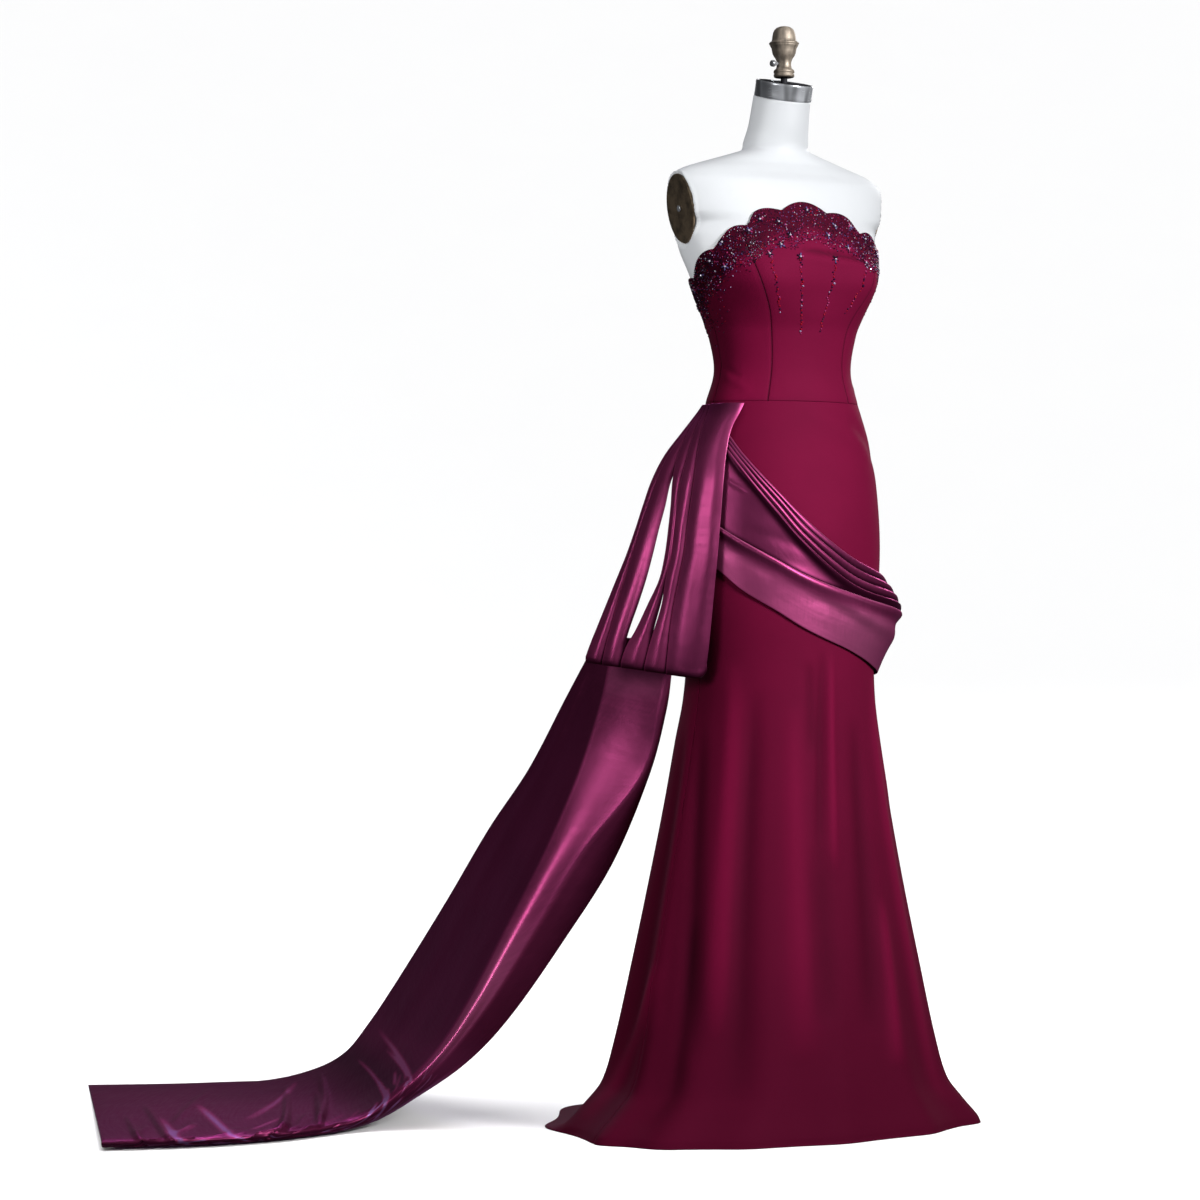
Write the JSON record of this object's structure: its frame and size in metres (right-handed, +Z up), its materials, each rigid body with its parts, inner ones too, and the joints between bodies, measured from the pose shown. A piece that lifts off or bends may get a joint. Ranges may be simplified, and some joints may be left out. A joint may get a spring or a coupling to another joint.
{
  "type": "beaded evening gown on dress form",
  "caption": "Strapless floor-length gown with scalloped top, pleated hip drape and long side train, standing on a limbless dress form.",
  "frame": {"origin": "on the floor, at the middle of the stand's base, under the pole", "axes": "+Z up, the wearer's front faces -Y, the wearer's right side is -X"},
  "size_m": [1.3171, 1.1879, 1.653],
  "materials": {
    "crepe": "matte burgundy crepe",
    "satin": "lustrous magenta satin",
    "shell": "smooth white cover",
    "steel": "polished steel",
    "bronze": "aged bronze",
    "black_plate": "satin black"
  },
  "bodies": {
    "root": {"bodice_centre_front": "crepe", "bodice_side_front_right": "crepe", "bodice_side_front_left": "crepe", "bodice_side_back_right": "crepe", "bodice_side_back_left": "crepe", "bodice_centre_back_right": "crepe", "bodice_centre_back_left": "crepe", "skirt_front": "crepe", "skirt_back_right": "crepe", "skirt_back_left": "crepe", "drape_pleat_1": "satin", "drape_pleat_2": "satin", "drape_pleat_3": "satin", "drape_panel": "satin", "drape_band": "satin", "sash_pleat_1": "satin", "sash_pleat_2": "satin", "sash_pleat_3": "satin", "sash_pleat_4": "satin", "sash_pleat_5": "satin", "train": "satin", "form_torso": "shell", "neck_ring": "steel", "neck_plate": "black_plate", "finial_stem": "steel", "finial": "bronze", "thumbscrew": "steel", "arm_plate_right": "bronze", "arm_plate_left": "bronze", "arm_screw_right": "steel", "arm_screw_left": "steel", "base": "steel", "pole": "steel"}
  },
  "joints": []
}
